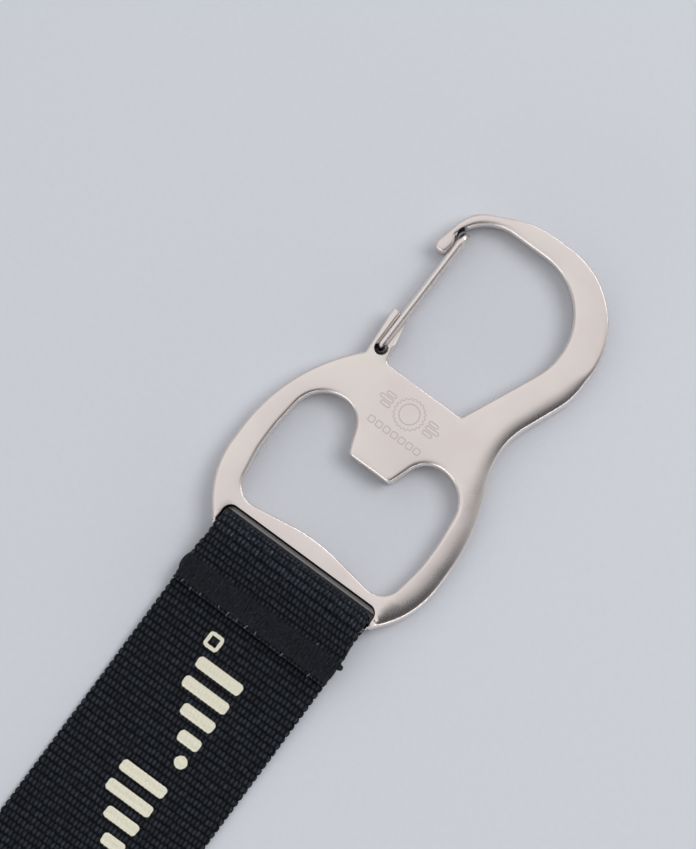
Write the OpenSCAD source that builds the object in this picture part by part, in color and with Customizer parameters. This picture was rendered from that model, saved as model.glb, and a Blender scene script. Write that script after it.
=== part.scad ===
// Keychain bottle opener: a cast plate with a hook, a cap aperture and a strap bar,
// a sprung wire gate, and a sewn webbing strap that carries a split key ring.
//
// It lies on its back: +Z is up, +Y runs along it from the key ring to the hook.
// The shapes are drawn with y = 0 at the strap slot's top edge, and centred() then
// moves them all so that the origin is the middle of the footprint, on the table.

/* [Opener plate] */
// Thickness of the cast plate
plate_t = 4; // [3.8:0.1:4.2]
// Width of the lobe around the cap aperture
lobe_w = 34; // [33.8:0.1:34.4]
// Height of the hook's top above the strap slot
hook_top = 54.4; // [54.2:0.1:55]
// Distance from the centre line to the hook's closed side
hook_side = 16.5; // [16.4:0.1:16.8]
// Width of the cap aperture
aperture_w = 26.8; // [26.6:0.1:27]
// Height of the cap-lifting tab's end above the strap slot
tab_y = 14.6; // [14.4:0.1:14.8]
// Width of the cap-lifting tab's end
tab_w = 6.8; // [6.6:0.1:7]
// Width of the strap slot
slot_w = 24.6; // [24.6:0.1:24.8]
// Diameter of the cast bar that the strap goes round
bar_d = 2.7; // [2.6:0.1:2.7]

/* [Wire gate] */
// Diameter of the gate's wire
wire_d = 1.1; // [1:0.05:1.1]
// Length of the closed gate from its pivot to its rounded end
gate_l = 19.25; // [19.1:0.05:19.3]
// Angle that the closed gate leans towards the hook's inside
gate_lean = 0.85; // [0.8:0.05:0.9]
// Diameter of the hole that both ends of the wire sit in
pivot_hole_d = 1.9; // [1.85:0.05:1.95]

/* [Strap] */
// Width of the webbing
web_w = 25; // [24.6:0.1:25.2]
// Thickness of the webbing
web_t = 1.2; // [1.1:0.05:1.2]
// Distance from the strap slot's top edge to the strap's far end
strap_l = 108; // [100:1:140]
// Length of each stitched band along the strap
stitch_l = 3.7; // [3:0.1:4]
// How far the thread stands proud of the webbing
thread_t = 0.2; // [0.15:0.05:0.25]

/* [Split ring] */
// Outer diameter of the key ring
ring_d = 33; // [32.6:0.1:33]
// Width of the ring's flat wire, across the ring
ring_w = 2.6; // [2.4:0.1:2.6]
// Thickness of the ring's flat wire
coil_t = 1.25; // [1.2:0.05:1.25]

/* [Hidden] */
$fn = 64;
arc_step = 6;               // degrees between the points of a rounded corner

// Plate: landmarks of its outlines
lobe_x = lobe_w / 2;
side_x = aperture_w / 2;
tab_x = tab_w / 2;
waist_y = 27.35;            // straight lower edge of the hook's opening
foot_y = -4.8;              // lowest edge of the plate, under the strap
tongue_y = 34;              // end of the tongue that carries the gate
nose_y = 43.75;             // tip of the hook's nose

// Strap bar: its back clears the layer of webbing that passes behind it
bar_play = 0.05;
fold_r = bar_d / 2 + bar_play;
bar_y = -2.1 - bar_d / 2;
bar_z = web_t + bar_play + fold_r;
ledge = 0.55;               // how far the slot's lower part stands in under its top edge
ledge_z = 1.6;

// Gate
gate_pivot = [-8.5, 28.75];
pivot_hole = [-8.25, 28.55];
face_play = 0.05;           // how deep the wire lies under the plate's faces
leg_front = plate_t - face_play - wire_d / 2;
leg_back = face_play + wire_d / 2;
bend_r = (leg_front - leg_back) / 2;
leg_l = gate_l - wire_d / 2 - bend_r;
pin_l = 1.6;                // how far each end of the wire goes into the hole
relief_z = face_play + wire_d + 0.1;    // depth that lets the gate swing over the tongue
groove_z = relief_z + 0.25;             // depth of the groove along the closed gate
swing_max = 28;             // how far the gate opens

// Strap: heights of its layers along its length
layer_gap = 0.05;
fold_w = slot_w - 0.3;      // the webbing is squeezed where it passes through the slot
squeeze_y = -6.9;           // where it is back at its full width
band_y = -8.4;              // upper edge of the stitched band near the opener
near_lift = 0.9;            // height of the strap under that band
near_rest_y = -30;          // where the strap comes down to the table
near_cut_y = band_y - stitch_l - 0.3;

// Key ring, which leans from the strap down to the table
ring_r = ring_d / 2;
coil_pitch = coil_t + 0.05;
ring_tilt = 3;
far_fold_r = 1.75;          // inside of the far fold
far_out_r = far_fold_r + web_t;
far_y = -strap_l + far_out_r;           // centre of the far fold
ring_y = far_y - 6.2;
ring_z = 2.25;
tunnel_y = ring_y + 17.3;   // the ring's tunnel ends here
far_band_y = tunnel_y + 7;  // lower edge of the stitched band near the ring
far_cut_y = far_band_y + stitch_l + 0.3;
far_lift = 0.3;
ramp_a = 15;                // half the angle over which the ring's wire changes level
ramp_lean = asin(coil_pitch / (2 * (ring_r - ring_w / 2) * sin(ramp_a)));
end_gap = 4;                // from the crossing wire to each end of the coil, in degrees

back_y = ring_y - ring_r * cos(ring_tilt) - (coil_pitch + coil_t) / 2 * sin(ring_tilt);
middle_y = (hook_top + back_y) / 2;

// The plate's outline, clockwise: x, y and the radius of each corner
plate_outline = [
    // lobe, left side
    [-11.4, foot_y, 1], [-lobe_x, 2.2, 13.6], [-lobe_x, 19.4, 25.4], [-9.7, 27, 0.3],
    // tongue
    [-10.15, tongue_y, 0.35], [-7.8, tongue_y - 0.2, 0.4], [-6.5, waist_y, 0.6],
    // inside of the hook
    [5.85, waist_y, 0.5], [11.42, 39.8, 9], [11.42, hook_top - 3, 9.4], [-8, hook_top - 3, 6.2],
    // notch and nose
    [-9.3, 46.6, 0.15], [-8.9, 45.8, 0.15], [-9.05, nose_y, 0.8], [-11.1, nose_y - 0.1, 0.9],
    // outside of the hook
    [-10, 48.4, 6], [-8.9, hook_top - 3.53, 2], [-1.4, hook_top, 17],
    [hook_side, hook_top, 12.4], [hook_side, 38, 10.5],
    // waist and lobe, right side
    [11.9, 27.1, 11], [lobe_x, 14.9, 28.5], [lobe_x, 2.6, 13.6], [11, foot_y, 1]
];

// The left half of the cap aperture, from its lowest corner up to the tab
aperture_half = [
    [-9.2, 1.5, 5], [-side_x + 1.05, 1.45, 3.1], [-side_x, 8, 16], [-side_x, 12, 18],
    [-side_x + 0.85, 20.25, 4.9], [-tab_x - 2.05, 20.25, 3.7], [-tab_x, tab_y, 1]
];
aperture_top = [0, 3, 25];   // crown of the curved edge opposite the tab

// ---- helpers ----

function unit(v) = v / norm(v);

// Points of the arc that rounds corner v, between its neighbours p and n
function corner(p, v, n, r) =
    let (a = unit(p - v), b = unit(n - v), half = acos(a * b) / 2,
         c = v + unit(a + b) * r / sin(half), reach = r / tan(half),
         from = v + a * reach - c, to = v + b * reach - c,
         a0 = atan2(from.y, from.x),
         turn = (atan2(to.y, to.x) - a0 + 540) % 360 - 180,
         steps = ceil(abs(turn) / arc_step))
    [for (i = [0:steps]) c + r * [cos(a0 + turn * i / steps), sin(a0 + turn * i / steps)]];

function xy(v) = [v.x, v.y];

// Points of a closed outline whose corners are rounded
function rounded(v) =
    let (n = len(v))
    [for (i = [0:n - 1]) each corner(xy(v[(i + n - 1) % n]), xy(v[i]), xy(v[(i + 1) % n]), v[i].z)];

// The mirror image of an outline's half, in the reverse order
function mirrored(v) = [for (i = [len(v) - 1:-1:0]) [-v[i].x, v[i].y, v[i].z]];

// 0 up to a, 1 from b on, and a smooth rise between them
function ease(a, b, y) = let (s = min(1, max(0, (y - a) / (b - a)))) s * s * (3 - 2 * s);

module centred() {
    translate([0, -middle_y, 0]) children();
}

// ---- opener plate ----

module plate_2d() {
    polygon(rounded(plate_outline));
}

module aperture_2d() {
    polygon(rounded(concat([aperture_top], aperture_half, mirrored(aperture_half))));
}

// The strap slot, open below so that only the bar closes it
module slot_2d(top_y, r) {
    x = slot_w / 2;
    polygon(rounded([[-x, -9, 0.1], [-x, top_y, r], [x, top_y, r], [x, -9, 0.1]]));
}

module strap_bar() {
    intersection() {
        translate([-slot_w / 2 - 1, bar_y, bar_z])
            rotate([0, 90, 0])
                cylinder(d = bar_d, h = slot_w + 2);
        linear_extrude(bar_z + bar_d)
            plate_2d();
    }
}

// The part of the tongue that the wire's legs sweep when the gate opens
module swing_2d() {
    reach = 6;
    edge = wire_d / 2 + 0.12;
    open = swing_max + 2;
    near = gate_pivot + edge * [cos(open), -sin(open)];
    polygon([
        gate_pivot + [-0.75, 0],
        gate_pivot + [-0.75, 2 * reach],
        gate_pivot + [reach, 2 * reach],
        near + reach * [sin(open), cos(open)],
        near
    ]);
}

// Recess in the hook's inside that takes the closed gate's rounded end
module tip_recess_2d() {
    translate(gate_pivot + (gate_l - wire_d / 2) * [sin(gate_lean), cos(gate_lean)])
        circle(r = wire_d);
}

// The deeper groove along the closed gate
module groove_2d() {
    left = gate_pivot.x - 0.75;
    polygon([[left, 28.6], [left, 36], [-8, 36], [-7.4, 28.6]]);
}

module both_faces(depth) {
    for (z = [-1, plate_t - depth])
        translate([0, 0, z])
            linear_extrude(depth + 1)
                children();
}

module opener_body() {
    centred() color([0.82, 0.79, 0.77])
    difference() {
        union() {
            difference() {
                linear_extrude(plate_t)
                    plate_2d();
                translate([0, 0, -1])
                    linear_extrude(plate_t + 2) {
                        aperture_2d();
                        slot_2d(-ledge, 0.4);
                        tip_recess_2d();
                    }
                translate([0, 0, ledge_z])
                    linear_extrude(plate_t)
                        slot_2d(0, 1.2);
            }
            strap_bar();
        }
        both_faces(relief_z) swing_2d();
        both_faces(groove_z) groove_2d();
        translate([pivot_hole.x, pivot_hole.y, -1])
            cylinder(d = pivot_hole_d, h = plate_t + 2);
    }
}

// ---- wire gate ----

module gate_wire() {
    centred() color([0.78, 0.77, 0.76])
    translate([gate_pivot.x, gate_pivot.y, 0])
        rotate([0, 0, -gate_lean]) {
            for (z = [leg_back, leg_front])
                translate([0, 0, z]) {
                    rotate([-90, 0, 0])
                        cylinder(d = wire_d, h = leg_l);
                    sphere(d = wire_d);
                }
            translate([0, 0, leg_back])
                cylinder(d = wire_d, h = pin_l - wire_d / 2);
            translate([0, 0, leg_front - pin_l + wire_d / 2])
                cylinder(d = wire_d, h = pin_l - wire_d / 2);
            translate([0, leg_l, (leg_back + leg_front) / 2])
                rotate([0, 90, 0])
                    rotate_extrude(angle = 180)
                        translate([bend_r, 0])
                            circle(d = wire_d);
        }
}

// ---- webbing strap ----

// Height of the underside of the long layer
function main_z(y) =
    near_lift * (1 - ease(band_y, bar_y, y)) * ease(near_rest_y, near_cut_y, y)
    + far_lift * ease(tunnel_y, far_band_y, y) * (1 - ease(far_cut_y, far_cut_y + 6, y));

// Heights of the undersides of the two ends, folded back over the long layer
function near_flap_z(y) =
    let (low = near_lift + web_t + layer_gap, high = bar_z + fold_r)
    low + (high - low) * ease(band_y, bar_y, y);

function far_flap_z(y) =
    let (low = far_lift + web_t + layer_gap, high = web_t + 2 * far_fold_r)
    high + (low - high) * ease(tunnel_y, far_band_y, y);

// One layer: its undersides' heights at each y in ys
module layer(ys, zs) {
    n = len(ys);
    rotate([90, 0, 90])
        translate([0, 0, -web_w / 2])
            linear_extrude(web_w)
                polygon(concat(
                    [for (i = [0:n - 1]) [ys[i], zs[i]]],
                    [for (i = [n - 1:-1:0]) [ys[i], zs[i] + web_t]]
                ));
}

function steps(a, b, n) = [for (i = [0:n]) a + (b - a) * i / n];

// Half a tube along X: a fold of the webbing, open towards +Y or -Y
module fold(y, z, inner, side) {
    translate([0, y, z])
        intersection() {
            rotate([0, 90, 0])
                difference() {
                    cylinder(r = inner + web_t, h = web_w, center = true);
                    cylinder(r = inner, h = web_w + 2, center = true);
                }
            translate([-web_w, side > 0 ? 0 : -20, -20])
                cube([2 * web_w, 20, 40]);
        }
}

module webbing() {
    main_ys = concat(
        steps(far_y, tunnel_y, 1), steps(tunnel_y + 0.5, far_band_y, 8),
        steps(far_cut_y, far_cut_y + 6, 8), steps(near_rest_y, near_cut_y, 12),
        steps(band_y, bar_y, 10)
    );
    near_ys = concat([near_cut_y], steps(band_y, bar_y, 12));
    far_ys = concat(steps(far_y, tunnel_y, 1), steps(tunnel_y + 0.5, far_band_y, 12), [far_cut_y]);
    centred() color([0.11, 0.12, 0.15])
    difference() {
        union() {
            layer(main_ys, [for (y = main_ys) main_z(y)]);
            layer(near_ys, [for (y = near_ys) near_flap_z(y)]);
            layer(far_ys, [for (y = far_ys) far_flap_z(y)]);
            fold(bar_y, bar_z, fold_r, 1);
            fold(far_y, far_out_r, far_fold_r, -1);
        }
        for (side = [-1, 1])
            translate([side * (fold_w / 2 + 5), squeeze_y + 10, 0])
                cube([10, 20, 40], center = true);
    }
}

// Sewing thread, worked over both layers and round their edges
module stitching(y, lift) {
    stack = 2 * web_t + layer_gap;
    translate([0, y + stitch_l / 2, lift + stack / 2])
        difference() {
            cube([web_w + 2 * thread_t, stitch_l, stack + 2 * thread_t], center = true);
            cube([web_w, stitch_l + 1, stack], center = true);
        }
}

module near_stitching() {
    centred() color([0.05, 0.05, 0.07])
        stitching(band_y - stitch_l, near_lift);
}

module far_stitching() {
    centred() color([0.05, 0.05, 0.07])
        stitching(far_band_y, far_lift);
}

// ---- split ring ----

// A stretch of the flat wire, from one angle round to another
module turn(from, to) {
    rotate([0, 0, from])
        rotate_extrude(angle = to - from, $fn = 120)
            translate([ring_r - ring_w, -coil_t / 2])
                square([ring_w, coil_t]);
}

module split_ring() {
    centred() color([0.75, 0.75, 0.77])
    translate([0, ring_y, ring_z])
        rotate([ring_tilt, 0, 0])
            rotate([0, 0, -120]) {
                translate([0, 0, -coil_pitch / 2])
                    turn(ramp_a + end_gap, 360 - ramp_a);
                translate([0, 0, coil_pitch / 2])
                    turn(ramp_a, 360 - ramp_a - end_gap);
                // the wire rises from the lower turn to the upper one
                rotate([ramp_lean, 0, 0])
                    turn(-ramp_a - 1, ramp_a + 1);
            }
}

opener_body();
gate_wire();
webbing();
near_stitching();
far_stitching();
split_ring();
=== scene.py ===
"""Looks for a keychain bottle opener: satin nickel casting and wire gate, woven
webbing with sewn bands and a plain print, and a split ring.

Shapes are in drawing millimetres, as in the design: x across the strap, y along it
with 0 at the strap slot's top edge, and z up from the table. place() turns them into
the row frame's metres.
"""
import math

import bpy
import numpy as np
from mathutils import Matrix, Vector, geometry


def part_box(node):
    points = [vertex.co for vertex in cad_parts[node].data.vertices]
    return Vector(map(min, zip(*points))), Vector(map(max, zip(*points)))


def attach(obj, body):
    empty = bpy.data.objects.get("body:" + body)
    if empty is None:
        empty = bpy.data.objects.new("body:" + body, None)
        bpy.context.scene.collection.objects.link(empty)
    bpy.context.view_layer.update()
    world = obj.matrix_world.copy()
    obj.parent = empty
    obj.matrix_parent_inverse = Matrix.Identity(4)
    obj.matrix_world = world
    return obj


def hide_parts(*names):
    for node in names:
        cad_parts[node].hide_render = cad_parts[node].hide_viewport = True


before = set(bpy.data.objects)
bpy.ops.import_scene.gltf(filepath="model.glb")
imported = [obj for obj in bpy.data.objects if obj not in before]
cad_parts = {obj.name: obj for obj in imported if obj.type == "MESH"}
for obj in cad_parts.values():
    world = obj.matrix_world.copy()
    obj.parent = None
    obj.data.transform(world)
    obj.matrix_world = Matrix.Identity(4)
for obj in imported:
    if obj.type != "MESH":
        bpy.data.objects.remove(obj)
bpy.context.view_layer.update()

# ---- sizes, in mm, as in the design ----

MM = 0.001
PLATE_T = 4.0
HOOK_TOP = 54.4
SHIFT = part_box("opener_body")[1][1] / MM - HOOK_TOP     # drawing y to the row's Y

LOBE_X = 17.0
SIDE_X = 13.4
TAB_X = 3.4
TAB_Y = 14.6
WAIST_Y = 27.35
FOOT_Y = -4.8
TONGUE_Y = 34.0
NOSE_Y = 43.75
SLOT_X = 12.3
SLOT_R = 1.2
BAR_R = 1.35
BAR_Y = -3.45
BAR_Z = 2.65
LEDGE = 0.55
LEDGE_Z = 1.6
LEDGE_R = 0.4

WIRE_D = 1.1
GATE_PIVOT = (-8.5, 28.75)
PIVOT_HOLE = (-8.25, 28.55)
PIVOT_HOLE_R = 0.95
GATE_LEAN = math.radians(0.85)
LEG_FRONT = 3.4
LEG_BACK = 0.6
LEG_L = 17.3
END_R = (LEG_FRONT - LEG_BACK) / 2      # bend at the gate's rounded end
TIP = (GATE_PIVOT[0] + (LEG_L + END_R) * math.sin(GATE_LEAN),
       GATE_PIVOT[1] + (LEG_L + END_R) * math.cos(GATE_LEAN))
PIN_L = 1.05
RELIEF_Z = 1.25
GROOVE_Z = 1.5
SWING = math.radians(30)

WEB_W = 25.0
WEB_T = 1.2
FOLD_W = 24.4
FOLD_R = 1.4
BAND_Y = -8.4
STITCH_L = 3.7
NEAR_LIFT = 0.9
NEAR_REST_Y = -30.0
NEAR_CUT_Y = -12.4
LAYER_GAP = 0.05
FAR_FOLD_R = 1.75
FAR_OUT_R = FAR_FOLD_R + WEB_T
FAR_Y = -108.0 + FAR_OUT_R
FAR_LIFT = 0.3

RING_R = 16.5
RING_W = 2.6
COIL_T = 1.25
COIL_PITCH = 1.3
RING_Y = FAR_Y - 6.2
RING_Z = 2.25
RING_TILT = math.radians(3)
RAMP_A = 15
END_GAP = 4
TUNNEL_Y = RING_Y + 17.3
FAR_BAND_Y = TUNNEL_Y + 7
FAR_CUT_Y = FAR_BAND_Y + STITCH_L + 0.3


# ---- small helpers ----

def ease(a, b, x):
    """0 up to a, 1 from b on, with a smooth rise between them."""
    s = np.clip((np.asarray(x, float) - a) / (b - a), 0, 1)
    return s * s * (3 - 2 * s)


def place(points):
    """Drawing millimetres to the row frame's metres."""
    p = np.array(points, float).reshape(-1, 3)
    p[:, 1] += SHIFT
    return p * MM


def piece(name, points, faces, materials, body, nodes=(), slot=None, sharp=32):
    """A mesh object from drawing points, riding on a body."""
    mesh = bpy.data.meshes.new(name)
    mesh.from_pydata([tuple(p) for p in place(points)], [], faces)
    mesh.validate()
    mesh.shade_smooth()
    mesh.set_sharp_from_angle(angle=math.radians(sharp))
    ob = bpy.data.objects.new(name, mesh)
    bpy.context.scene.collection.objects.link(ob)
    for m in materials:
        mesh.materials.append(m)
    if body:
        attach(ob, body)
    if nodes:
        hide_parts(*nodes)
    return ob


def apply_modifiers(ob):
    dg = bpy.context.evaluated_depsgraph_get()
    mesh = bpy.data.meshes.new_from_object(ob.evaluated_get(dg))
    ob.modifiers.clear()
    ob.data = mesh


def cut(ob, points, faces, operation="DIFFERENCE"):
    """Cuts one closed shape out of ob, or joins it on."""
    tool = piece("tool", points, faces, [], None)
    mod = ob.modifiers.new("cut", "BOOLEAN")
    mod.operation = operation
    mod.solver = "EXACT"
    mod.object = tool
    apply_modifiers(ob)
    bpy.data.objects.remove(tool)


def prism(outline, z0, z1):
    """Points and faces of a prism on a counter-clockwise outline."""
    n = len(outline)
    points = [(x, y, z) for z in (z0, z1) for x, y in outline]
    faces = [tuple(range(n - 1, -1, -1)), tuple(range(n, 2 * n))]
    faces += [(i, (i + 1) % n, n + (i + 1) % n, n + i) for i in range(n)]
    return points, faces


def tube(path, radius, sides=14):
    """Points and faces of a round rod along a path, with capped ends."""
    path = np.array(path, float)
    n = len(path)
    radius = np.broadcast_to(np.asarray(radius, float), n)
    tangent = np.gradient(path, axis=0)
    tangent /= np.linalg.norm(tangent, axis=1)[:, None]
    side = np.cross(tangent[0], (0.3, 0.5, 0.81))
    points = []
    for p, t, r in zip(path, tangent, radius):
        side = side - t * side.dot(t)
        side /= np.linalg.norm(side)
        up = np.cross(t, side)
        for k in range(sides):
            a = 2 * math.pi * k / sides
            points.append(p + r * (side * math.cos(a) + up * math.sin(a)))
    return points, lattice(n, sides) + [
        tuple(range(sides - 1, -1, -1)), tuple(range((n - 1) * sides, n * sides))]


def lattice(n, m):
    """Quads that join n closed rings of m points each."""
    return [(i * m + k, i * m + (k + 1) % m, (i + 1) * m + (k + 1) % m, (i + 1) * m + k)
            for i in range(n - 1) for k in range(m)]


def arc(cx, cy, r, a0, a1, step=9):
    """Points of an arc from angle a0 to a1, in degrees."""
    n = max(2, math.ceil(abs(a1 - a0) / step))
    angles = np.radians(np.linspace(a0, a1, n + 1))
    return [(cx + r * math.cos(a), cy + r * math.sin(a)) for a in angles]


def merged(shapes):
    """One list of points and faces from several (points, faces)."""
    points, faces = [], []
    for p, f in shapes:
        base = len(points)
        points.extend(p)
        faces.extend(tuple(i + base for i in q) for q in f)
    return points, faces


# ---- materials ----

class Nodes:
    """Short calls for building one material's nodes."""

    def __init__(self, name):
        self.material = bpy.data.materials.new(name)
        self.material.use_nodes = True
        self.tree = self.material.node_tree
        self.shader = self.tree.nodes["Principled BSDF"]

    def new(self, kind, **inputs):
        node = self.tree.nodes.new("ShaderNode" + kind)
        for key, value in inputs.items():
            self.put(node, key.replace("_", " "), value)
        return node

    def put(self, node, key, value):
        self.put_socket(node.inputs[int(key) if key.isdigit() else key], value)

    def put_socket(self, socket, value):
        if isinstance(value, bpy.types.NodeSocket):
            self.tree.links.new(value, socket)
        else:
            socket.default_value = value

    def math(self, operation, a, b=0.0):
        node = self.new("Math")
        node.operation = operation
        self.put(node, "0", a)
        self.put(node, "1", b)
        return node.outputs[0]

    def vector(self, operation, a, b=(0, 0, 0)):
        node = self.new("VectorMath")
        node.operation = operation
        self.put(node, "0", a)
        self.put(node, "1", b)
        return node.outputs["Value" if operation == "LENGTH" else "Vector"]

    def noise(self, vector, scale, detail=3.0, rough=0.55):
        node = self.new("TexNoise", Vector=vector, Scale=scale, Detail=detail, Roughness=rough)
        return node.outputs["Fac"]

    def between(self, value, low, high, out_low=0.0, out_high=1.0):
        node = self.new("MapRange")
        node.interpolation_type = "SMOOTHSTEP"
        for i, v in enumerate((value, low, high, out_low, out_high)):
            self.put(node, str(i), v)
        return node.outputs["Result"]

    def mix(self, factor, a, b):
        node = self.new("Mix")
        node.data_type = "RGBA"
        for name, v in (("Factor", factor), ("A", a), ("B", b)):
            sockets = [s for s in node.inputs if s.name == name and s.enabled]
            self.put_socket(sockets[0], v)
        return [s for s in node.outputs if s.enabled][0]

    def bump(self, height, strength, distance, normal=None):
        node = self.new("Bump", Height=height, Strength=strength, Distance=distance)
        if normal is not None:
            self.put(node, "Normal", normal)
        return node.outputs["Normal"]

    def set(self, **inputs):
        for key, value in inputs.items():
            self.put(self.shader, key.replace("_", " "), value)


def object_mm(n):
    """Object coordinates in the drawing's millimetres."""
    node = n.new("VectorMath")
    node.operation = "MULTIPLY_ADD"
    n.put(node, "0", n.new("TexCoord").outputs["Object"])
    n.put(node, "1", (1 / MM, 1 / MM, 1 / MM))
    n.put(node, "2", (0, -SHIFT, 0))
    return node.outputs["Vector"]


def rounded_box(n, point, centre, half, radius):
    """Distance outside a flat box with rounded corners, in mm. Below zero is inside."""
    away = n.vector("ABSOLUTE", n.vector("SUBTRACT", point, (*centre, 0)))
    beyond = n.vector("SUBTRACT", away, (half[0] - radius, half[1] - radius, 9))
    return n.math("SUBTRACT", n.vector("LENGTH", n.vector("MAXIMUM", beyond)), radius)


def lowest(n, values):
    total = values[0]
    for v in values[1:]:
        total = n.math("MINIMUM", total, v)
    return total


def etched_motif(n, mm):
    """Mask of the thin lines etched on the waist: a crown cap seen from above, between
    two pairs of short bars, over a row of small open squares."""
    here = n.vector("MULTIPLY", n.vector("SUBTRACT", mm, (0.1, 23.6, 0)), (1, 1, 0))
    xyz = n.new("SeparateXYZ", Vector=here)
    x, y = xyz.outputs["X"], xyz.outputs["Y"]
    angle = n.math("ARCTAN2", y, x)
    teeth, rim_r, ring_r, pitch = 21.0, 2.1, 1.4, 0.62
    wave = n.math("MULTIPLY", n.math("COSINE", n.math("MULTIPLY", angle, teeth)), 0.11)
    away = n.vector("LENGTH", here)
    rim = n.math("SUBTRACT", n.math("SUBTRACT", away, rim_r), wave)
    ring = n.math("SUBTRACT", away, ring_r)
    mirrored = n.vector("ADD", n.vector("ABSOLUTE", n.vector("MULTIPLY", here, (1, 0, 0))),
                        n.vector("MULTIPLY", here, (0, 1, 0)))
    outlines = [rim, ring]
    outlines += [rounded_box(n, mirrored, (2.75 + half, at), (half, 0.24), 0.2)
                 for at, half in ((0.75, 0.7), (0.0, 1.0), (-0.75, 0.7))]
    cell = n.new("CombineXYZ")
    n.put(cell, "X", n.math("PINGPONG", n.math("ADD", x, 66 * pitch), pitch))
    n.put(cell, "Y", y)
    square = rounded_box(n, cell.outputs["Vector"], (0, -3.45), (0.42, 0.42), 0.2)
    ends = n.math("SUBTRACT", n.math("ABSOLUTE", x), 4.3)
    squares = n.math("MAXIMUM", n.math("ABSOLUTE", square), ends)
    lines = lowest(n, [n.math("ABSOLUTE", o) for o in outlines] + [squares])
    face = n.math("GREATER_THAN", n.new("SeparateXYZ", Vector=mm).outputs["Z"],
                  PLATE_T - 0.1)
    return n.math("MULTIPLY", n.between(lines, 0.03, 0.11, 1.0, 0.0), face)


def cast_metal(name):
    """Satin nickel on a tumbled die casting: fine grain, faint mottling, smoother and
    brighter edges where it rubs, and etched lines. The slot's upper sides and the sides of
    the pivot hole and of the recess at the gate's tip are painted near-black as painted shade,
    and inside the slot's outline, the ledge included, the metal is painted dark grey as painted
    shade."""
    n = Nodes(name)
    mm = object_mm(n)
    flat = n.vector("MULTIPLY", mm, (1, 1, 0))
    xyz = n.new("SeparateXYZ", Vector=mm)
    x, z = xyz.outputs["X"], xyz.outputs["Z"]
    off_centre = n.math("ABSOLUTE", n.math("SUBTRACT", z, PLATE_T / 2))
    edge = n.between(off_centre, PLATE_T / 2 - 0.5, PLATE_T / 2 - 0.04, 1.0, 0.0)
    mottle = n.noise(mm, 0.11, 3.0)
    grain = n.noise(mm, 5.5, 3.0, 0.6)
    fine = n.noise(mm, 32.0, 2.0)
    colour = n.mix(n.between(mottle, 0.3, 0.7), (0.79, 0.715, 0.69, 1), (0.84, 0.77, 0.725, 1))
    colour = n.mix(n.math("MULTIPLY", edge, 0.5), colour, (0.88, 0.82, 0.79, 1))
    rough = n.math("ADD", n.between(grain, 0.3, 0.7, 0.30, 0.36),
                   n.between(mottle, 0.35, 0.7, -0.01, 0.01))
    rough = n.math("SUBTRACT", rough, n.math("MULTIPLY", edge, 0.1))
    height = n.math("ADD", n.math("MULTIPLY", grain, 0.6), n.math("MULTIPLY", fine, 0.4))
    slot = rounded_box(n, flat, (0, -4.5), (SLOT_X, 4.5), SLOT_R)
    # painted shade: the slot's upper sides, and the sides of the pivot hole and of the recess at
    # the gate's tip, go near-black
    painted_shade = n.math("MULTIPLY", n.between(slot, -0.19, -0.13),
                  n.between(slot, 0.1, 0.14, 1.0, 0.0))
    painted_shade = n.math("MULTIPLY", painted_shade, n.between(z, 1.9, 2.2))
    for centre, radius, reach in ((PIVOT_HOLE, PIVOT_HOLE_R, 2.0), (TIP, WIRE_D, -0.6)):
        away = n.vector("LENGTH", n.vector("SUBTRACT", flat, (*centre, 0)))
        hole = n.between(away, radius + 0.02, radius + 0.05, 1.0, 0.0)
        left = n.between(x, centre[0] + reach - 0.2, centre[0] + reach, 1.0, 0.0)
        painted_shade = n.math("MAXIMUM", painted_shade, n.math("MULTIPLY", hole, left))
    painted_shade = n.math("MULTIPLY", painted_shade, n.math("LESS_THAN", z, PLATE_T - 0.07))
    # painted shade: inside the slot's outline, the ledge included, the metal is painted dark grey
    slot_painted_shade = n.between(slot, 0.0, 0.05, 0.84, 0.0)
    colour = n.mix(slot_painted_shade, colour, (0.115, 0.117, 0.125, 1))
    # the near-black of the painted shade
    colour = n.mix(painted_shade, colour, (0.004, 0.004, 0.005, 1))
    rough = n.math("ADD", rough, n.math("MULTIPLY", painted_shade, 0.5))
    mask = etched_motif(n, mm)
    colour = n.mix(mask, colour, (0.62, 0.55, 0.49, 1))
    rough = n.math("ADD", rough, n.math("MULTIPLY", mask, 0.1))
    height = n.math("SUBTRACT", height, mask)
    round_edge = n.new("Bevel", Radius=0.09 * MM)
    round_edge.samples = 4
    n.set(Base_Color=colour, Metallic=1.0, Roughness=rough,
          Normal=n.bump(height, 0.13, 0.015 * MM, round_edge.outputs["Normal"]))
    return n.material


def drawn_steel(name, light, rough):
    """Plated steel wire, with faint lengthwise draw marks and specks."""
    n = Nodes(name)
    mm = object_mm(n)
    streak = n.noise(n.vector("MULTIPLY", mm, (14, 2.2, 14)), 1.0, 3.0)
    speck = n.noise(mm, 6.0, 4.0)
    dark = [c * 0.94 for c in light]
    colour = n.mix(n.between(speck, 0.3, 0.5), (*dark, 1), (*light, 1))
    n.set(Base_Color=colour, Metallic=1.0,
          Roughness=n.between(speck, 0.3, 0.7, rough - 0.04, rough + 0.08),
          Normal=n.bump(streak, 0.02, 0.01 * MM))
    return n.material


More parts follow.
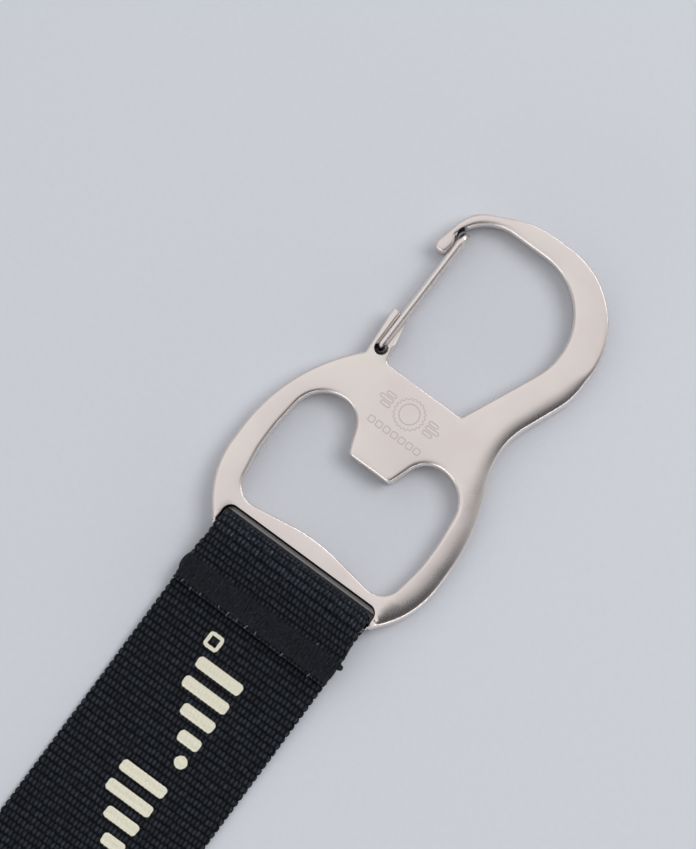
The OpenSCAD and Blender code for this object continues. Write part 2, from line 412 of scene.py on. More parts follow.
def print_mask(n, here, height):
    """Mask of the plain cream print: groups of bars across the strap that shorten
    towards a dot, after one small open square."""
    xyz = n.new("SeparateXYZ", Vector=here)
    x, y = xyz.outputs["X"], xyz.outputs["Y"]
    start, pitch, last = -18.4, 17.0, 50.0      # the print ends after three whole groups
    group = n.math("SUBTRACT", start, y)
    local = n.new("CombineXYZ")
    n.put(local, "X", x)
    n.put(local, "Y", n.math("MODULO", n.math("ADD", group, pitch), pitch))
    point = local.outputs["Vector"]
    bars = [rounded_box(n, point, (4.0 - length / 2, at), (length / 2, 0.85), 0.55)
            for at, length in ((0.9, 7.2), (4.0, 7.2), (7.1, 5.2), (10.2, 3.4))]
    bars.append(rounded_box(n, point, (3.1, 13.2), (0.9, 0.9), 0.88))
    group_only = n.math("MAXIMUM", n.math("MULTIPLY", group, -1.0),
                        n.math("SUBTRACT", group, last))
    shape = n.math("MAXIMUM", lowest(n, bars), group_only)
    flat = n.vector("MULTIPLY", here, (1, 1, 0))
    square = rounded_box(n, flat, (-2.9, -16.1), (1.15, 1.15), 0.6)
    line = 0.26                                 # half the open square's line
    square = n.math("SUBTRACT", n.math("ABSOLUTE", n.math("ADD", square, line)), line)
    shape = n.math("MINIMUM", shape, square)
    ragged = n.math("MULTIPLY", n.math("SUBTRACT", 0.5, height), 0.07)
    shape = n.math("ADD", shape, ragged)
    return n.between(shape, -0.04, 0.05, 1.0, 0.0)


def webbing_material():
    """Near-black navy yarn: painted shade in the grooves and painted light on the peaks, each
    yarn a little different, with fine filaments along it, and painted bluish glints near the
    fold. The strap attributes hold x and y in mm, and the relief."""
    n = Nodes("webbing_yarn")
    here = n.new("Attribute")
    here.attribute_name = "strap"
    relief = n.new("Attribute")
    relief.attribute_name = "relief"
    facts = n.new("SeparateXYZ", Vector=relief.outputs["Vector"])
    height, yarn, printed = (facts.outputs[k] for k in "XYZ")
    along = here.outputs["Vector"]
    fibre = n.noise(n.vector("MULTIPLY", along, (16, 3.2, 1)), 1.0, 4.0, 0.65)
    patch = n.noise(along, 0.35, 3.0)
    dark = n.mix(n.between(patch, 0.3, 0.7), (0.002, 0.0022, 0.003, 1),
                 (0.0028, 0.0032, 0.0044, 1))
    light = n.mix(yarn, (0.0145, 0.0165, 0.022, 1), (0.029, 0.036, 0.052, 1))
    mm = object_mm(n)
    # painted highlight: bluish glints on the yarn, strongest near the fold's top by the opener
    near_fold = n.between(n.new("SeparateXYZ", Vector=mm).outputs["Y"], -8.0, -1.5, 0.12, 1.0)
    painted_glint = n.math("MULTIPLY", n.between(n.noise(mm, 3.4, 2.0), 0.53, 0.64), near_fold)
    light = n.mix(painted_glint, light, (0.085, 0.115, 0.155, 1))
    # painted shade and light: the grooves go dark and the peaks light by the weave's height, with
    # random fibre and patch variation on top
    tone = n.math("MULTIPLY", n.between(height, 0.0, 0.95),
                  n.between(fibre, 0.25, 0.75, 0.4, 1.0))
    tone = n.math("MULTIPLY", tone, n.between(n.noise(along, 1.3, 2.0), 0.3, 0.7, 0.6, 1.1))
    colour = n.mix(tone, dark, light)
    mask = n.math("MULTIPLY", print_mask(n, along, height), printed)
    ink = n.mix(n.between(fibre, 0.3, 0.75), (0.60, 0.575, 0.46, 1), (0.76, 0.735, 0.61, 1))
    colour = n.mix(mask, colour, ink)
    rough = n.math("SUBTRACT", n.between(fibre, 0.3, 0.7, 0.62, 0.86),
                   n.math("MULTIPLY", mask, 0.12))
    shine = n.between(height, 0.1, 0.9, 0.06, 0.34)
    n.set(Base_Color=colour, Roughness=rough, Specular_IOR_Level=shine, Sheen_Weight=0.05,
          Sheen_Roughness=0.45, Sheen_Tint=(0.62, 0.74, 0.95, 1),
          Normal=n.bump(fibre, 0.45, 0.05 * MM))
    return n.material


def thread_material(name, dark, light, rough):
    """Twisted sewing thread: fine slanted plies, and tufts of lighter filaments."""
    n = Nodes(name)
    mm = object_mm(n)
    ply = n.noise(n.vector("MULTIPLY", mm, (9, 2.5, 9)), 1.0, 4.0, 0.7)
    tuft = n.noise(mm, 2.6, 3.0)
    tone = n.math("MULTIPLY", n.between(ply, 0.35, 0.75), n.between(tuft, 0.3, 0.75, 0.4, 1.0))
    n.set(Base_Color=n.mix(tone, (*dark, 1), (*light, 1)), Roughness=rough,
          Specular_IOR_Level=0.22, Sheen_Weight=0.03, Sheen_Roughness=0.4,
          Sheen_Tint=(0.6, 0.72, 0.95, 1), Normal=n.bump(ply, 0.5, 0.04 * MM))
    return n.material


CAST = cast_metal("cast_satin_nickel")
WIRE = drawn_steel("gate_wire_nickel", (0.86, 0.80, 0.77), 0.3)
RING = drawn_steel("ring_nickel", (0.72, 0.715, 0.71), 0.2)
YARN = webbing_material()
THREAD = thread_material("stitching_thread", (0.001, 0.0011, 0.0016), (0.03, 0.036, 0.05), 0.7)
# painted highlight: the locking rows' thread is coloured light and glossy to stand in for glints
GLINT = thread_material("locking_thread_painted_glint", (0.05, 0.065, 0.085), (0.30, 0.37, 0.45), 0.35)


# ---- opener plate ----

WIDTH_PASSES = 36   # smoothing of the edge widths along an outline


def rounded(corners, spacing=0.42):
    """Points [x, y, edge width] of a closed outline from its corners
    (x, y, radius, edge width)."""
    n = len(corners)
    arcs = []
    for i, (x, y, r, w) in enumerate(corners):
        p, v, q = (Vector(corners[j % n][:2]) for j in (i - 1, i, i + 1))
        a, b = (p - v).normalized(), (q - v).normalized()
        half = math.acos(max(-1.0, min(1.0, a.dot(b)))) / 2
        c = v + (a + b).normalized() * r / math.sin(half)
        reach = r / math.tan(half)
        start, end = v + a * reach - c, v + b * reach - c
        a0 = math.atan2(start.y, start.x)
        turn = (math.atan2(end.y, end.x) - a0 + 3 * math.pi) % (2 * math.pi) - math.pi
        steps = max(2, math.ceil(abs(turn) * r / spacing), math.ceil(abs(turn) / 0.2))
        arcs.append([(c.x + r * math.cos(a0 + turn * k / steps),
                      c.y + r * math.sin(a0 + turn * k / steps), w) for k in range(steps + 1)])
    out = []
    for i, points in enumerate(arcs):
        out += points
        last, first = np.array(points[-1]), np.array(arcs[(i + 1) % n][0])
        k = math.ceil(np.linalg.norm((first - last)[:2]) / spacing)
        out += [tuple(last + (first - last) * t / k) for t in range(1, k)]
    out = np.array(out)
    gap = np.linalg.norm(out[:, :2] - np.roll(out[:, :2], 1, axis=0), axis=1)
    out = out[gap > 0.02]
    for _ in range(WIDTH_PASSES):
        w = out[:, 2]
        out[:, 2] = (np.roll(w, 1) + 2 * w + np.roll(w, -1)) / 4
    return out


LEFT_LEG = (11.4, 2.2)      # x of the leg's foot, and y where the lobe is widest
RIGHT_LEG = (11.0, 2.6)


def leg_end(leg, side):
    """Where the lobe's lower edge meets the slot's side."""
    foot_x, lobe_y = leg
    t = (SLOT_X - foot_x) / (LOBE_X - foot_x)
    return (side * SLOT_X, FOOT_Y + t * (lobe_y - FOOT_Y))


PLATE_OUTLINE = [
    # leg beside the slot and lobe, left side
    (*leg_end(LEFT_LEG, -1), 0.3, 0.4), (-LOBE_X, LEFT_LEG[1], 13.6, 0.55),
    (-LOBE_X, 19.4, 25.4, 0.55),
    (-9.7, 27, 0.3, 0.4),
    # tongue
    (-10.15, TONGUE_Y, 0.35, 0.3), (-7.8, TONGUE_Y - 0.2, 0.4, 0.3), (-6.5, WAIST_Y, 0.6, 0.35),
    # inside of the hook
    (5.85, WAIST_Y, 0.5, 0.4), (11.42, 39.8, 9, 0.5), (11.42, HOOK_TOP - 3, 9.4, 0.7),
    (-8, HOOK_TOP - 3, 6.2, 0.75),
    # notch and nose
    (-9.3, 46.6, 0.15, 0.3), (-8.9, 45.8, 0.15, 0.25), (-9.05, NOSE_Y, 0.8, 0.45),
    (-11.1, NOSE_Y - 0.1, 0.9, 0.45),
    # outside of the hook
    (-10, 48.4, 6, 0.4), (-8.9, HOOK_TOP - 3.53, 5, 0.4), (-1.4, HOOK_TOP, 14, 0.4),
    (16.5, HOOK_TOP, 12.4, 0.45), (16.5, 38, 10.5, 2.2),
    # waist and lobe, right side
    (11.9, 27.1, 11, 2.1), (LOBE_X, 14.9, 28.5, 3.3), (LOBE_X, RIGHT_LEG[1], 13.6, 3.6),
    (*leg_end(RIGHT_LEG, 1), 0.3, 0.6),
    # slot
    (SLOT_X, 0, SLOT_R, 0.16), (-SLOT_X, 0, SLOT_R, 0.16),
]

# The aperture: the middle of its lower edge, and its left half from there up to the tab.
# The right half mirrors it, with a wider edge on its notch.
APERTURE_BASE = (0, 3, 25, 0.5)
NOTCH_W = 0.85
APERTURE_HALF = [
    (-9.2, 1.5, 5, 0.4), (-SIDE_X + 1.05, 1.45, 3.1, 0.5), (-SIDE_X, 8, 16, 0.6),
    (-SIDE_X, 12, 18, 0.6), (-SIDE_X + 0.85, 20.25, 4.9, 0.6), (-TAB_X - 2.05, 20.25, 3.7, 0.6),
    (-TAB_X, TAB_Y, 1.0, 0.5),
]


def nearest(points, loop):
    """Distance from each point to a closed loop, and the loop's edge width there."""
    start, width = loop[:, :2], loop[:, 2]
    step = np.roll(start, -1, axis=0) - start
    wstep = np.roll(width, -1) - width
    length2 = (step ** 2).sum(axis=1)
    far, wide = [], []
    for chunk in np.array_split(points, max(1, len(points) // 1500)):
        rel = chunk[:, None, :] - start[None]
        t = np.clip((rel * step).sum(axis=2) / length2, 0, 1)
        d = np.linalg.norm(rel - t[..., None] * step, axis=2)
        k = d.argmin(axis=1)
        row = np.arange(len(chunk))
        far.append(d[row, k])
        wide.append(width[k] + wstep[k] * t[row, k])
    return np.concatenate(far), np.concatenate(wide)


def inside(points, loop):
    """Whether each point is inside a closed loop."""
    x, y = points[:, 0][:, None], points[:, 1][:, None]
    x0, y0 = loop[:, 0], loop[:, 1]
    x1, y1 = np.roll(x0, -1), np.roll(y0, -1)
    with np.errstate(divide="ignore", invalid="ignore"):
        crossing = ((y0 > y) != (y1 > y)) & (x < (x1 - x0) * (y - y0) / (y1 - y0) + x0)
    return crossing.sum(axis=1) % 2 == 1


CROWN = 0.10        # how far the faces fall off gently towards their edges
CROWN_REACH = 1.4
FILLET_W = 0.5      # the widest round of an edge: wider edges also roll off in front of it
ROLL = 0.26         # depth of that roll for each mm of width


def edge_drop(points, loops):
    """How far the rounded edges lower the plate's face at each point."""
    total = np.zeros(len(points))
    for loop in loops:
        d, w = nearest(points, loop)
        fillet = np.minimum(w, FILLET_W)
        u = np.clip(1 - d / fillet, 0, 1)
        roll = ROLL * np.clip(w - 0.45, 0, 3) * np.clip(1 - d / w, 0, 1) ** 2
        total += 0.75 * fillet * (1 - np.sqrt(1 - u * u))
        total += roll + CROWN * np.exp(-d / CROWN_REACH)
    return total


def plate_mesh():
    """Both faces of the plate over one triangulation, and the walls between them."""
    outer = rounded(PLATE_OUTLINE)[::-1]
    mirrored = [(-x, y, r, NOTCH_W if y > TAB_Y else w) for x, y, r, w in APERTURE_HALF[::-1]]
    hole = rounded([APERTURE_BASE, *APERTURE_HALF, *mirrored])
    loops = [outer, hole]
    flat = np.concatenate(loops)[:, :2]
    edges, base = [], 0
    for loop in loops:
        edges += [(base + i, base + (i + 1) % len(loop)) for i in range(len(loop))]
        base += len(loop)
    kept = [flat]
    for theta in np.radians((13, 22, 31, 45, 60, 75, 90)):
        for loop in loops:
            step = np.roll(loop[:, :2], -1, axis=0) - np.roll(loop[:, :2], 1, axis=0)
            step /= np.linalg.norm(step, axis=1)[:, None]
            normal = np.stack([-step[:, 1], step[:, 0]], 1)
            reach = loop[:, 2] * (1 - math.cos(theta))
            for side in (1, -1):
                ring = loop[:, :2] + side * reach[:, None] * normal
                ok = inside(ring, outer) & ~inside(ring, hole)
                for other in loops:
                    ok &= nearest(ring, other)[0] > 0.93 * reach
                kept.append(ring[ok])
    grid = np.array([(x + 0.4 * (j % 2), y)
                     for j, y in enumerate(np.arange(FOOT_Y, HOOK_TOP, 0.75))
                     for x in np.arange(-LOBE_X, LOBE_X, 0.8)])
    ok = inside(grid, outer) & ~inside(grid, hole)
    for loop in loops:
        d, w = nearest(grid, loop)
        ok &= d > w + 0.25
    kept.append(grid[ok])
    points = thinned(np.concatenate(kept), len(flat), 0.07)
    result = geometry.delaunay_2d_cdt([Vector(p) for p in points], edges, [], 0, 1e-7, True)
    found, faces, origin = np.array([tuple(v) for v in result[0]]), result[2], result[3]
    index = {i: k for k, ids in enumerate(origin) for i in ids}
    centres = np.array([found[list(f)].mean(axis=0) for f in faces])
    good = inside(centres, outer) & ~inside(centres, hole)
    top_faces = [tuple(f) for f, g in zip(faces, good) if g]
    drop = edge_drop(found, loops)
    n = len(found)
    top = np.column_stack([found, PLATE_T - drop])
    bottom = np.column_stack([found, drop])
    faces = top_faces + [tuple(i + n for i in f[::-1]) for f in top_faces]
    for a, b in edges:
        a, b = index[a], index[b]
        faces.append((a, n + a, n + b, b))
    return np.concatenate([top, bottom]), faces


def thinned(points, fixed, apart):
    """The points with those dropped that crowd an earlier one. The first are all kept."""
    cells, out = {}, []
    for i, (x, y) in enumerate(points):
        key = (math.floor(x / apart), math.floor(y / apart))
        near = (q for dx in (-1, 0, 1) for dy in (-1, 0, 1)
                for q in cells.get((key[0] + dx, key[1] + dy), ()))
        if i >= fixed and any((q[0] - x) ** 2 + (q[1] - y) ** 2 < apart ** 2 for q in near):
            continue
        cells.setdefault(key, []).append((x, y))
        out.append((x, y))
    return np.array(out)


def opener():
    """The casting: the plate, less the gate's relief cuts, pivot hole and tip recess, and
    with the slot's ledge and the strap bar joined on."""
    points, faces = plate_mesh()
    body = piece("opener_casting", points, faces, [CAST], None)
    px, py = GATE_PIVOT
    left, top = px - 0.75, py + 12
    edge = WIRE_D / 2 + 0.12
    near = (px + edge * math.cos(SWING), py - edge * math.sin(SWING))
    swept = [(left, py), near,
             (near[0] + 6 * math.sin(SWING), near[1] + 6 * math.cos(SWING)),
             (px + 6, top), (left, top)]
    groove = [(left, 28.6), (-7.4, 28.6), (-8, 36), (left, 36)]
    for outline, depth in ((swept, RELIEF_Z), (groove, GROOVE_Z)):
        for z0 in (-1, PLATE_T - depth):
            cut(body, *prism(outline, z0, z0 + depth + 1))
    for centre, radius in ((PIVOT_HOLE, PIVOT_HOLE_R), (TIP, WIRE_D)):
        cut(body, *prism(arc(*centre, radius, 0, 352.5, 7.5), -1, PLATE_T + 1))
    corner_y = -LEDGE - LEDGE_R
    ledge = [(-SLOT_X - 0.4, 0.3), (-SLOT_X - 0.4, corner_y)]
    ledge += arc(-SLOT_X + LEDGE_R, corner_y, LEDGE_R, 180, 90)
    ledge += arc(SLOT_X - LEDGE_R, corner_y, LEDGE_R, 90, 0)
    ledge += [(SLOT_X + 0.4, corner_y), (SLOT_X + 0.4, 0.3)]
    cut(body, *prism(ledge, 0.12, LEDGE_Z), "UNION")
    along = [(x, BAR_Y, BAR_Z) for x in (-12.5, -6, 0, 6, 12.5)]
    bar = piece("bar", *tube(along, BAR_R, 40), [], None)
    for side, (foot_x, lobe_y) in ((-1, LEFT_LEG), (1, RIGHT_LEG)):
        corner = [(side * foot_x, FOOT_Y), (side * 19, FOOT_Y), (side * 19, lobe_y),
                  (side * LOBE_X, lobe_y)]
        cut(bar, *prism(corner[::side], -1, 9))
    join = body.modifiers.new("bar", "BOOLEAN")
    join.operation, join.solver, join.object = "UNION", "EXACT", bar
    apply_modifiers(body)
    bpy.data.objects.remove(bar)
    body.data.shade_smooth()
    body.data.set_sharp_from_angle(angle=math.radians(32))
    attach(body, "opener")
    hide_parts("opener_body")


# ---- wire gate ----

def gate():
    """One wire bent into a long U, with both ends turned in to the pivot hole."""
    bend = 0.7
    middle = (LEG_FRONT + LEG_BACK) / 2
    path = [(0, LEG_FRONT - PIN_L), (0, LEG_FRONT - bend - 0.05)]
    path += arc(bend, LEG_FRONT - bend, bend, 180, 90)
    path += [(y, LEG_FRONT) for y in np.linspace(bend + 0.6, LEG_L - 0.4, 24)]
    path += arc(LEG_L, middle, END_R, 90, -90, 7)
    path += [(y, LEG_BACK) for y in np.linspace(LEG_L - 0.4, bend + 0.6, 24)]
    path += arc(bend, LEG_BACK + bend, bend, 270, 180)
    path += [(0, LEG_BACK + bend + 0.05), (0, LEG_BACK + PIN_L)]
    turned = [(GATE_PIVOT[0] + y * math.sin(GATE_LEAN),
               GATE_PIVOT[1] + y * math.cos(GATE_LEAN), z) for y, z in path]
    piece("gate_wire_bent", *tube(turned, WIRE_D / 2, 24), [WIRE], "gate",
          ["gate_wire"], "spring_wire", sharp=50)


# ---- webbing strap ----

ROW = 1.05          # pitch of the weave's rows along the strap
BUMP = 0.61         # pitch of the yarns in a row
RELIEF = 0.24       # depth of the weave
SELVEDGE = 0.55     # how far in from its edges the webbing thins


def main_z(y):
    """Underside of the strap's long layer, which lifts towards each fold."""
    near = NEAR_LIFT * (1 - ease(BAND_Y, BAR_Y, y)) * ease(NEAR_REST_Y, NEAR_CUT_Y, y)
    far = FAR_LIFT * ease(TUNNEL_Y, FAR_BAND_Y, y) * (1 - ease(FAR_CUT_Y, FAR_CUT_Y + 6, y))
    return near + far


def near_flap_z(y):
    """Underside of the layer that comes back from the bar."""
    low, high = NEAR_LIFT + WEB_T + LAYER_GAP, BAR_Z + FOLD_R
    return low + (high - low) * ease(BAND_Y, BAR_Y, y)


def far_flap_z(y):
    """Underside of the layer that comes back from the ring."""
    low, high = FAR_LIFT + WEB_T + LAYER_GAP, WEB_T + 2 * FAR_FOLD_R
    return high + (low - high) * ease(TUNNEL_Y, FAR_BAND_Y, y)


def strap_path():
    """The webbing's middle (y, z), from its cut end near the opener, round the bar, along
    to the far fold and back to its other end. Also where each long stretch starts."""
    half = WEB_T / 2
    near = np.arange(NEAR_CUT_Y, BAR_Y, 0.1)
    main = np.arange(BAR_Y - 0.1, FAR_Y, -0.1)
    far = np.arange(FAR_Y + 0.05, FAR_CUT_Y, 0.1)
    parts = [
        np.column_stack([near, near_flap_z(near) + half]),
        np.array(arc(BAR_Y, BAR_Z, FOLD_R + half, 90, -90, 4)),
        np.column_stack([main, main_z(main) + half + 0.05 * ease(-7, BAR_Y, main)]),
        np.array(arc(FAR_Y, FAR_OUT_R, FAR_FOLD_R + half, -90, -270, 4)),
        np.column_stack([far, far_flap_z(far) + half]),
    ]
    path = np.concatenate(parts)
    which = np.concatenate([np.full(len(p), k) for k, p in enumerate(parts)])
    run = np.concatenate([[0], np.cumsum(np.linalg.norm(np.diff(path, axis=0), axis=1))])
    rows = round(run[-1] / ROW)
    s = np.linspace(0, run[-1], rows * 6 + 1)
    y, z = np.interp(s, run, path[:, 0]), np.interp(s, run, path[:, 1])
    part = which[np.clip(np.searchsorted(run, s), 0, len(which) - 1)]
    return s, y, z, part, rows, run[-1]


def weave(u, v, yarns):
    """Height 0 to 1 of a plain weave at yarn u and row v, and each yarn's own number."""
    row = np.round(v).astype(int)
    shift = (row % 2) / 2
    number = np.round(u - shift).astype(int)
    rnd = yarns[row % yarns.shape[0], number % yarns.shape[1]]
    stray = yarns[(row + 7) % yarns.shape[0], (number * 3) % yarns.shape[1]] - 0.5
    ridge = np.abs(np.cos(np.pi * (v - 0.16 * stray))) ** (0.5 + 0.4 * rnd)
    yarn = (0.5 + 0.5 * np.cos(2 * np.pi * (u - shift - 0.16 * stray))) ** 0.7
    return ridge * (0.18 + 0.82 * yarn) * (0.8 + 0.2 * rnd), rnd


def webbing():
    """The strap as one closed woven mesh, narrowed where it passes through the slot."""
    s, y, z, part, rows, length = strap_path()
    n = len(s)
    tangent = np.column_stack([np.gradient(y), np.gradient(z)])
    kernel = np.ones(9) / 9
    for k in (0, 1):
        padded = np.pad(tangent[:, k], 4, mode="edge")
        tangent[:, k] = np.convolve(padded, kernel, "valid")
    tangent /= np.linalg.norm(tangent, axis=1)[:, None]
    normal = np.column_stack([-tangent[:, 1], tangent[:, 0]])

    # columns across: even inside, closer together where the selvedges round off
    half_w = WEB_W / 2
    inner = np.arange(-(half_w - SELVEDGE), half_w - SELVEDGE + 1e-6, BUMP / 4)
    inner += (half_w - SELVEDGE - inner[-1]) / 2
    bend = np.radians((22, 42, 60, 76, 90))
    right = half_w - SELVEDGE + SELVEDGE * np.sin(bend)
    across = np.concatenate([-right[::-1], inner, right])
    m = len(across)
    thin = np.clip((np.abs(across) - (half_w - SELVEDGE)) / SELVEDGE, 0, 1)
    thin = np.sqrt(np.clip(1 - thin ** 2, 0, 1))

    v = s / length * rows
    v -= v[y.argmax()] % 1
    squeezed = np.where(part >= 2, ease(-8.2, -5.6, y), ease(-7.1, -5.1, y))
    narrow = 1 - (1 - FOLD_W / WEB_W) * squeezed
    yarns = np.random.RandomState(11).rand(rows + 9, 64)
    ridge = np.abs(np.cos(np.pi * v)) ** 0.55
    end = np.minimum(s, length - s)
    end_round = np.sqrt(np.clip(1 - np.clip(1 - end / 0.45, 0, 1) ** 2, 0, 1))

    rings, facts, places = [], [], []
    for side in (1, -1):
        cols = np.arange(m) if side == 1 else np.arange(m - 2, 0, -1)
        x = across[cols]
        u = x / BUMP + 40 + (0 if side == 1 else 0.5)
        h, rnd = weave(np.broadcast_to(u, (n, len(cols))),
                       np.broadcast_to(v[:, None], (n, len(cols))), yarns)
        out = (WEB_T / 2 - RELIEF * (1 - h)) * thin[cols] * (0.45 + 0.55 * end_round[:, None])
        outward = (1 - 0.45 * thin[cols]) * 0.26 * (1 - ridge)[:, None] * (np.abs(x) > half_w - 1)
        xx = x * narrow[:, None] - np.sign(x) * outward
        yy = y[:, None] + side * out * normal[:, :1]
        corner = np.clip((np.abs(x) - half_w + 1.5) / 1.5, 0, 1) ** 2
        yy -= 0.24 * corner * np.clip(yy - BAR_Y, 0, None)      # rounds the fold's corners
        zz = z[:, None] + side * out * normal[:, 1:]
        rings.append(np.stack([xx, yy, zz], axis=2))
        printed = np.broadcast_to(((side == -1) & (part == 2))[:, None], h.shape).astype(float)
        facts.append(np.stack([h, rnd, printed], axis=2))
        flat_y = np.where(part == 2, y, y[0] - s)
        places.append(np.stack([xx, np.broadcast_to(flat_y[:, None], h.shape), zz * 0], axis=2))
    points = np.concatenate(rings, axis=1)
    ring = points.shape[1]
    flat = points.reshape(-1, 3)
    faces = [q[::-1] for q in lattice(n, ring)]
    faces += [tuple(range(ring)), tuple(range(n * ring - 1, (n - 1) * ring - 1, -1))]
    ob = piece("webbing_strap", flat, faces, [YARN], "strap", ["webbing"], "webbing", sharp=180)
    for name, data in (("relief", facts), ("strap", places)):
        values = np.concatenate(data, axis=1).reshape(-1)
        layer = ob.data.attributes.new(name, "FLOAT_VECTOR", "POINT")
        layer.data.foreach_set("vector", values.astype(np.float32))
    return length


# ---- sewn bands ----

def stitched_band(name, node, y0, lift, knot):
    """A band of close satin stitches over both faces of the doubled webbing, with a locking row
    along each edge coloured light as painted glints, a bulge where it starts and a knot where it
    ends."""
    rnd = np.random.RandomState(len(name))
    low, high = lift, lift + 2 * WEB_T + LAYER_GAP
    y1 = y0 + STITCH_L
    dark, light = [], []
    half = WEB_W / 2 - 0.25
    cols, rows, stitches = 60, 9, 84
    for side, z in ((1, high), (-1, low)):
        pad = []
        for x in np.linspace(-half, half, cols):
            crown = 0.03 * math.sqrt(max(0, 1 - (x / half) ** 8))
            for t in np.linspace(0, 1, rows):
                rise = (math.sin(math.pi * t)) ** 0.5 * (0.06 + crown)
                pad.append((x, y0 + 0.15 + (STITCH_L - 0.3) * t, z + side * (rise - 0.05)))
        quads = [(i * rows + k, (i + 1) * rows + k, (i + 1) * rows + k + 1, i * rows + k + 1)
                 for i in range(cols - 1) for k in range(rows - 1)]
        dark.append((pad, quads if side == 1 else [q[::-1] for q in quads]))
        for i in range(stitches):
            x0 = -half + 2 * half * i / (stitches - 1)
            lean = (0.42 if i % 2 else -0.3) + rnd.uniform(-0.15, 0.15)
            start, end = y0 + rnd.uniform(-0.1, 0.3), y1 - rnd.uniform(-0.1, 0.3)
            bow, lift_by = rnd.uniform(-0.12, 0.12), rnd.uniform(0, 0.07)
            path = []
            for t in np.linspace(0, 1, 8):
                x = x0 + lean * (t - 0.5) + bow * math.sin(math.pi * t)
                rise = 0.15 * math.sin(math.pi * t) ** 0.4 + lift_by + 0.03 * math.sin(9 * t + i)
                path.append((min(half, max(-half, x)), start + (end - start) * t,
                             z + side * (rise - 0.13)))
            dark.append(tube(path, rnd.uniform(0.1, 0.15), 6))
        # painted highlight: the locking rows' short stitches, in the light glint thread
        for y, chance in ((y0 - 0.12, 0.55), (y1 + 0.02, 0.3)):
            for x in np.arange(-half + 1.2, half - 0.6, 1.5):
                if rnd.rand() < chance:
                    tip = rnd.uniform(0.14, 0.34)
                    at = y + rnd.uniform(-0.15, 0.25)
                    drift = rnd.uniform(-0.12, 0.12)
                    path = [(x + k * drift, at + k * tip, z + side * dz)
                            for k, dz in ((-1, -0.06), (-0.5, 0.06), (0.5, 0.07), (1, -0.05))]
                    light.append(tube(path, rnd.uniform(0.06, 0.09), 6))
    mid_z = (low + high) / 2
    for sx, ya, yb, r in ((-1, y0 + 0.9, y1 + 0.3, 0.75), (1, y0 + 0.4, y1 - 0.5, 0.35)):
        path = [(sx * (WEB_W / 2 - 0.42 + 0.12 * math.sin(math.pi * t)), ya + (yb - ya) * t,
                 mid_z + 0.2 * math.cos(5 * t)) for t in np.linspace(0, 1, 12)]
        radius = [0.1 + (r - 0.1) * math.sin(math.pi * t) ** 0.5 for t in np.linspace(0, 1, 12)]
        dark.append(tube(path, radius, 12))
    loop = []
    for t in np.linspace(0, 9.4 * math.pi, 110):
        r = 0.34 + 0.04 * math.sin(3.1 * t)
        loop.append((WEB_W / 2 + 0.12 + r * math.cos(t),
                     knot + r * math.sin(t) * math.cos(0.41 * t),
                     high - 0.35 + r * math.sin(t) * math.sin(0.41 * t)))
    dark.append(tube(loop, 0.15, 8))
    points, faces = merged(dark + light)
    ob = piece(name, points, faces, [THREAD, GLINT], "strap", [node], "thread", sharp=60)
    first_light = sum(len(f) for _, f in dark)
    for p in ob.data.polygons[first_light:]:
        p.material_index = 1


# ---- split ring ----

def split_ring():
    """Two turns of flat wire with rounded edges, and the ramp where it changes level."""
    start, end = RAMP_A + END_GAP, 720 - RAMP_A - END_GAP
    r = 0.34
    section = []                # the flat wire's outline
    for cx, cz, a0 in ((1, 1, 0), (-1, 1, 90), (-1, -1, 180), (1, -1, 270)):
        section += arc(cx * (RING_W / 2 - r), cz * (COIL_T / 2 - r), r, a0, a0 + 90, 18)
    section = np.array(section)
    rim = RING_R - RING_W / 2
    points = []
    angles = np.concatenate([[start, start + 0.5], np.arange(start + 2, end - 1, 2.5),
                             [end - 0.5, end]])
    for i, a in enumerate(angles):
        level = COIL_PITCH * (float(ease(360 - RAMP_A, 360 + RAMP_A, a)) - 0.5)
        trim = 0.86 if i in (0, len(angles) - 1) else 1.0
        turn = math.radians(a - 120)
        for p, q in section * trim:
            x, y, h = (rim + p) * math.cos(turn), (rim + p) * math.sin(turn), level + q
            points.append((x, RING_Y + y * math.cos(RING_TILT) - h * math.sin(RING_TILT),
                           RING_Z + y * math.sin(RING_TILT) + h * math.cos(RING_TILT)))
    n, m = len(angles), len(section)
    faces = [q[::-1] for q in lattice(n, m)]
    faces += [tuple(range(m)), tuple(range(n * m - 1, (n - 1) * m - 1, -1))]
    piece("key_ring_wire", points, faces, [RING], "key_ring", ["split_ring"],
          "ring_steel", sharp=45)


opener()
gate()
LENGTH = webbing()
stitched_band("near_stitches", "near_stitching", BAND_Y - STITCH_L, NEAR_LIFT, BAND_Y - 0.6)
stitched_band("far_stitches", "far_stitching", FAR_BAND_Y, FAR_LIFT, FAR_BAND_Y + 3.1)
split_ring()
print("webbing cut length", round(LENGTH, 1), "mm")


# ---- stage, light and camera ----

LIT = (0, 0.03, 0)          # where the lights aim, in metres


def backdrop():
    n = Nodes("paper_floor")
    mm = object_mm(n)
    tooth = n.noise(mm, 1.2, 4.0)
    n.set(Base_Color=n.mix(n.between(tooth, 0.3, 0.7), (0.545, 0.563, 0.605, 1),
                           (0.555, 0.573, 0.615, 1)), Roughness=0.9, Specular_IOR_Level=0.1)
    half = 3000                 # mm
    corners = [(-half, -half, 0), (half, -half, 0), (half, half, 0), (-half, half, 0)]
    floor = piece("floor", corners, [(0, 1, 2, 3)], [n.material], None)
    floor.location.z = -0.02 * MM


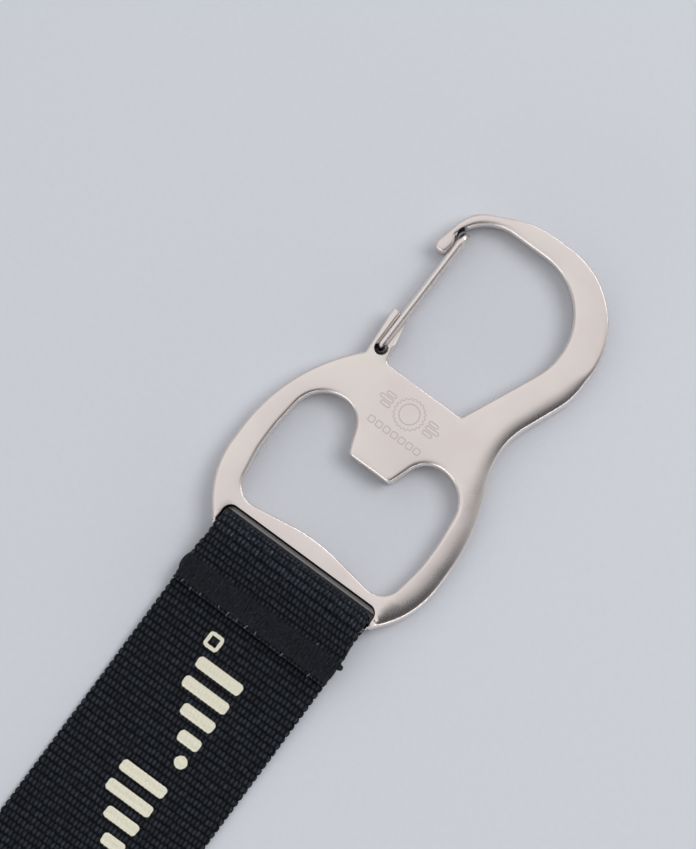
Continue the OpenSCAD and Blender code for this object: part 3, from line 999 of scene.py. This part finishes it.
def sky():
    """A pale room, brightest overhead, with one dark corner part of the way up on the
    +X side."""
    world = bpy.data.worlds.new("studio")
    bpy.context.scene.world = world
    world.use_nodes = True
    tree = world.node_tree
    coord = tree.nodes.new("ShaderNodeTexCoord")
    parts = []
    dark_corner = ((0.66, (1.0, 1.0, 1.01)), (1.0, (0.08, 0.08, 0.09)))
    overhead = ((0.0, (0.36, 0.36, 0.36)), (0.85, (1.0, 1.0, 1.0)))
    for axis, stops in (((0.67, -0.26, 0.70), dark_corner), ((0, 0, 1), overhead)):
        toward = tree.nodes.new("ShaderNodeVectorMath")
        toward.operation = "DOT_PRODUCT"
        toward.inputs[1].default_value = axis
        ramp = tree.nodes.new("ShaderNodeValToRGB")
        tree.links.new(coord.outputs["Generated"], toward.inputs[0])
        tree.links.new(toward.outputs["Value"], ramp.inputs[0])
        for stop, (position, colour) in zip(ramp.color_ramp.elements, stops):
            stop.position, stop.color = position, (*colour, 1)
        ramp.color_ramp.interpolation = "EASE"
        parts.append(ramp.outputs[0])
    both = tree.nodes.new("ShaderNodeVectorMath")
    both.operation = "MULTIPLY"
    for k, colour in enumerate(parts):
        tree.links.new(colour, both.inputs[k])
    tree.links.new(both.outputs["Vector"], tree.nodes["Background"].inputs["Color"])
    tree.nodes["Background"].inputs["Strength"].default_value = 0.89


def softbox(name, where, size, power, mirrored=True):
    """A soft light aimed at the opener. The metal mirrors it unless mirrored is False."""
    light = bpy.data.lights.new(name, "AREA")
    light.shape = "RECTANGLE"
    light.size, light.size_y = size
    light.energy = power
    ob = bpy.data.objects.new(name, light)
    ob.location = where
    ob.rotation_euler = (Vector(LIT) - Vector(where)).to_track_quat("-Z", "Y").to_euler()
    ob.visible_glossy = mirrored
    bpy.context.scene.collection.objects.link(ob)


def camera():
    """Nearly straight down, from the +X side and the strap's side, turned so that the
    strap runs out of the picture's lower left corner."""
    data = bpy.data.cameras.new("camera")
    data.sensor_width = 36
    data.lens = 318.6
    azimuth, elevation, roll = (math.radians(a) for a in (44.27, 83.12, -7.79))
    back = Vector((math.sin(azimuth) * math.cos(elevation),
                   -math.cos(azimuth) * math.cos(elevation), math.sin(elevation)))
    level = Vector((math.cos(azimuth), math.sin(azimuth), 0))
    right = level * math.cos(roll) + back.cross(level) * math.sin(roll)
    turn = Matrix((right, back.cross(right), back)).transposed()
    aim = Vector(place([(-5.69, 17.67, PLATE_T)])[0])
    distance = 1.0              # in metres
    ob = bpy.data.objects.new("camera", data)
    ob.matrix_world = Matrix.Translation(aim + back * distance) @ turn.to_4x4()
    data.clip_start, data.clip_end = 0.05, 20
    bpy.context.scene.collection.objects.link(ob)
    bpy.context.scene.camera = ob


backdrop()
sky()
softbox("key", (0.45, 0.62, 1.15), (0.7, 0.7), 9.0, mirrored=False)
softbox("low_right", (0.95, -0.35, 0.15), (1.0, 0.12), 1.3)
softbox("low_front", (-0.1, -1.0, 0.2), (1.0, 0.16), 2.2)
softbox("low_back", (0.2, 1.0, 0.18), (1.3, 0.16), 2.8)
camera()
bpy.context.scene.view_settings.view_transform = "Standard"

bpy.context.view_layer.update()
